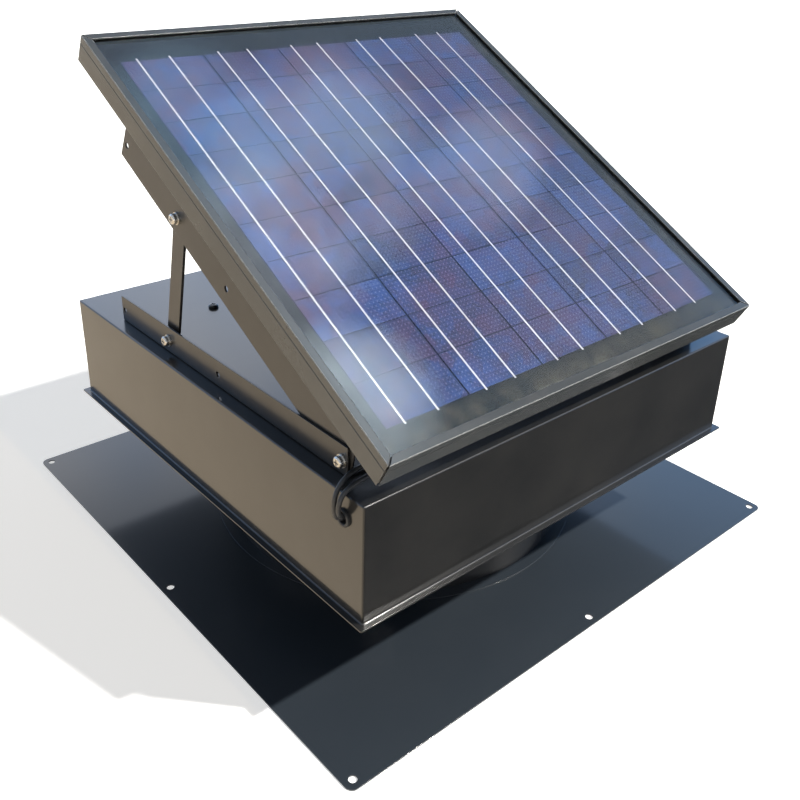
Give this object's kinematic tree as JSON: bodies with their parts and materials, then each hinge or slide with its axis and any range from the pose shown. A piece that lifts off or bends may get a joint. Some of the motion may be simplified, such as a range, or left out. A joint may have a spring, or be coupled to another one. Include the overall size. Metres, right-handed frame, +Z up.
{
  "type": "solar attic fan",
  "caption": "Roof-mounted attic ventilator: square flashing with a round throat, square hood, motor-driven fan and a tilting framed solar panel on folding props.",
  "frame": {"origin": "centre of the flashing plate's underside, on the roof's surface and on the fan's axis", "axes": "+Z up out of the roof along the fan's axis, +X along the panel's hinge line, -Y towards the side that the hinge is on"},
  "size_m": [0.552, 0.552, 0.4613],
  "materials": {
    "flashing_paint": "gloss black powder coat",
    "hood_paint": "gloss black powder coat",
    "bracket_paint": "satin black powder coat",
    "screen_metal": "black coated wire",
    "bridge_metal": "galvanised",
    "fastener_steel": "bright stainless",
    "black_screw": "black coated",
    "rivet_aluminium": "plain",
    "black_nylon": "moulded",
    "grommet_rubber": "matt",
    "lead_jacket": "satin jacket",
    "frame_anodised": "black anodised",
    "key_aluminium": "mill finish",
    "panel_glass": "clear, low iron",
    "cell_silicon": "blue anti-reflective coat",
    "ribbon_tinned": "tinned",
    "sheet_black": "black film",
    "box_plastic": "fine texture",
    "motor_paint": "satin black",
    "bearing_steel": "ground",
    "stator_iron": "laminated, varnished",
    "rotor_iron": "ground",
    "shaft_steel": "ground",
    "hub_metal": "zinc plated",
    "blade_aluminium": "plain",
    "switch_plastic": "moulded"
  },
  "bodies": {
    "roof_unit": {"flashing_plate": "flashing_paint", "throat_collar": "hood_paint", "collar_foot": "flashing_paint", "collar_rivets": "rivet_aluminium", "hood_shell": "hood_paint", "hood_posts": "bridge_metal", "hood_screws": "black_screw", "hood_nuts": "fastener_steel", "bird_screen": "screen_metal", "cable_grommet": "grommet_rubber", "base_rail_left": "bracket_paint", "base_rail_right": "bracket_paint", "rail_bolts": "fastener_steel", "pivot_screws": "fastener_steel", "pivot_nuts": "fastener_steel", "pivot_washers": "fastener_steel", "pivot_spacers": "black_nylon", "motor_bridge": "bridge_metal", "motor_housing": "motor_paint", "motor_end_cap": "motor_paint", "motor_bearings": "bearing_steel", "motor_stator": "stator_iron", "motor_screws": "fastener_steel", "thermal_switch": "switch_plastic", "motor_lead": "lead_jacket", "panel_lead_front": "lead_jacket", "panel_lead_rear": "lead_jacket"},
    "panel": {"frame_front": "frame_anodised", "frame_rear": "frame_anodised", "frame_left": "frame_anodised", "frame_right": "frame_anodised", "frame_corner_keys": "key_aluminium", "glass": "panel_glass", "backsheet": "sheet_black", "glass_seal": "grommet_rubber", "solar_cells": "cell_silicon", "cell_ribbons": "ribbon_tinned", "junction_box": "box_plastic", "junction_box_lid": "box_plastic", "box_lid_screws": "fastener_steel", "cable_glands": "black_nylon", "side_bracket_left": "bracket_paint", "side_bracket_right": "bracket_paint", "bracket_bolts": "fastener_steel", "prop_top_screws": "fastener_steel", "prop_top_washers": "fastener_steel"},
    "prop_left": {"prop_arm_left": "bracket_paint", "prop_nut_left": "fastener_steel"},
    "prop_right": {"prop_arm_right": "bracket_paint", "prop_nut_right": "fastener_steel"},
    "rotor": {"motor_rotor": "rotor_iron", "motor_shaft": "shaft_steel", "fan_hub": "hub_metal", "blade_rivets": "rivet_aluminium", "shaft_clip": "shaft_steel", "fan_blade_1": "blade_aluminium", "fan_blade_2": "blade_aluminium", "fan_blade_3": "blade_aluminium", "fan_blade_4": "blade_aluminium", "fan_blade_5": "blade_aluminium"}
  },
  "joints": [
    {"name": "panel_tilt", "type": "hinge", "parent": "roof_unit", "child": "panel", "pos_m": [0, -0.187, 0.2097], "axis": [1, 0, 0], "range_deg": [-23, 0], "deforming": ["panel_lead_front", "panel_lead_rear"]},
    {"name": "prop_left_fold", "type": "hinge", "parent": "roof_unit", "child": "prop_left", "pos_m": [-0.21005, 0.0668, 0.2097], "axis": [1, 0, 0], "range_deg": [-103, 0]},
    {"name": "prop_right_fold", "type": "hinge", "parent": "roof_unit", "child": "prop_right", "pos_m": [0.21005, 0.0668, 0.2097], "axis": [1, 0, 0], "range_deg": [-103, 0]},
    {"name": "fan_spin", "type": "hinge", "parent": "roof_unit", "child": "rotor", "pos_m": [0, 0, 0.058], "axis": [0, 0, 1], "continuous": true}
  ],
  "couplings": [
    {"joint": "prop_left_fold", "follows": "panel_tilt", "ratio": 4.45},
    {"joint": "prop_right_fold", "follows": "panel_tilt", "ratio": 4.45}
  ]
}
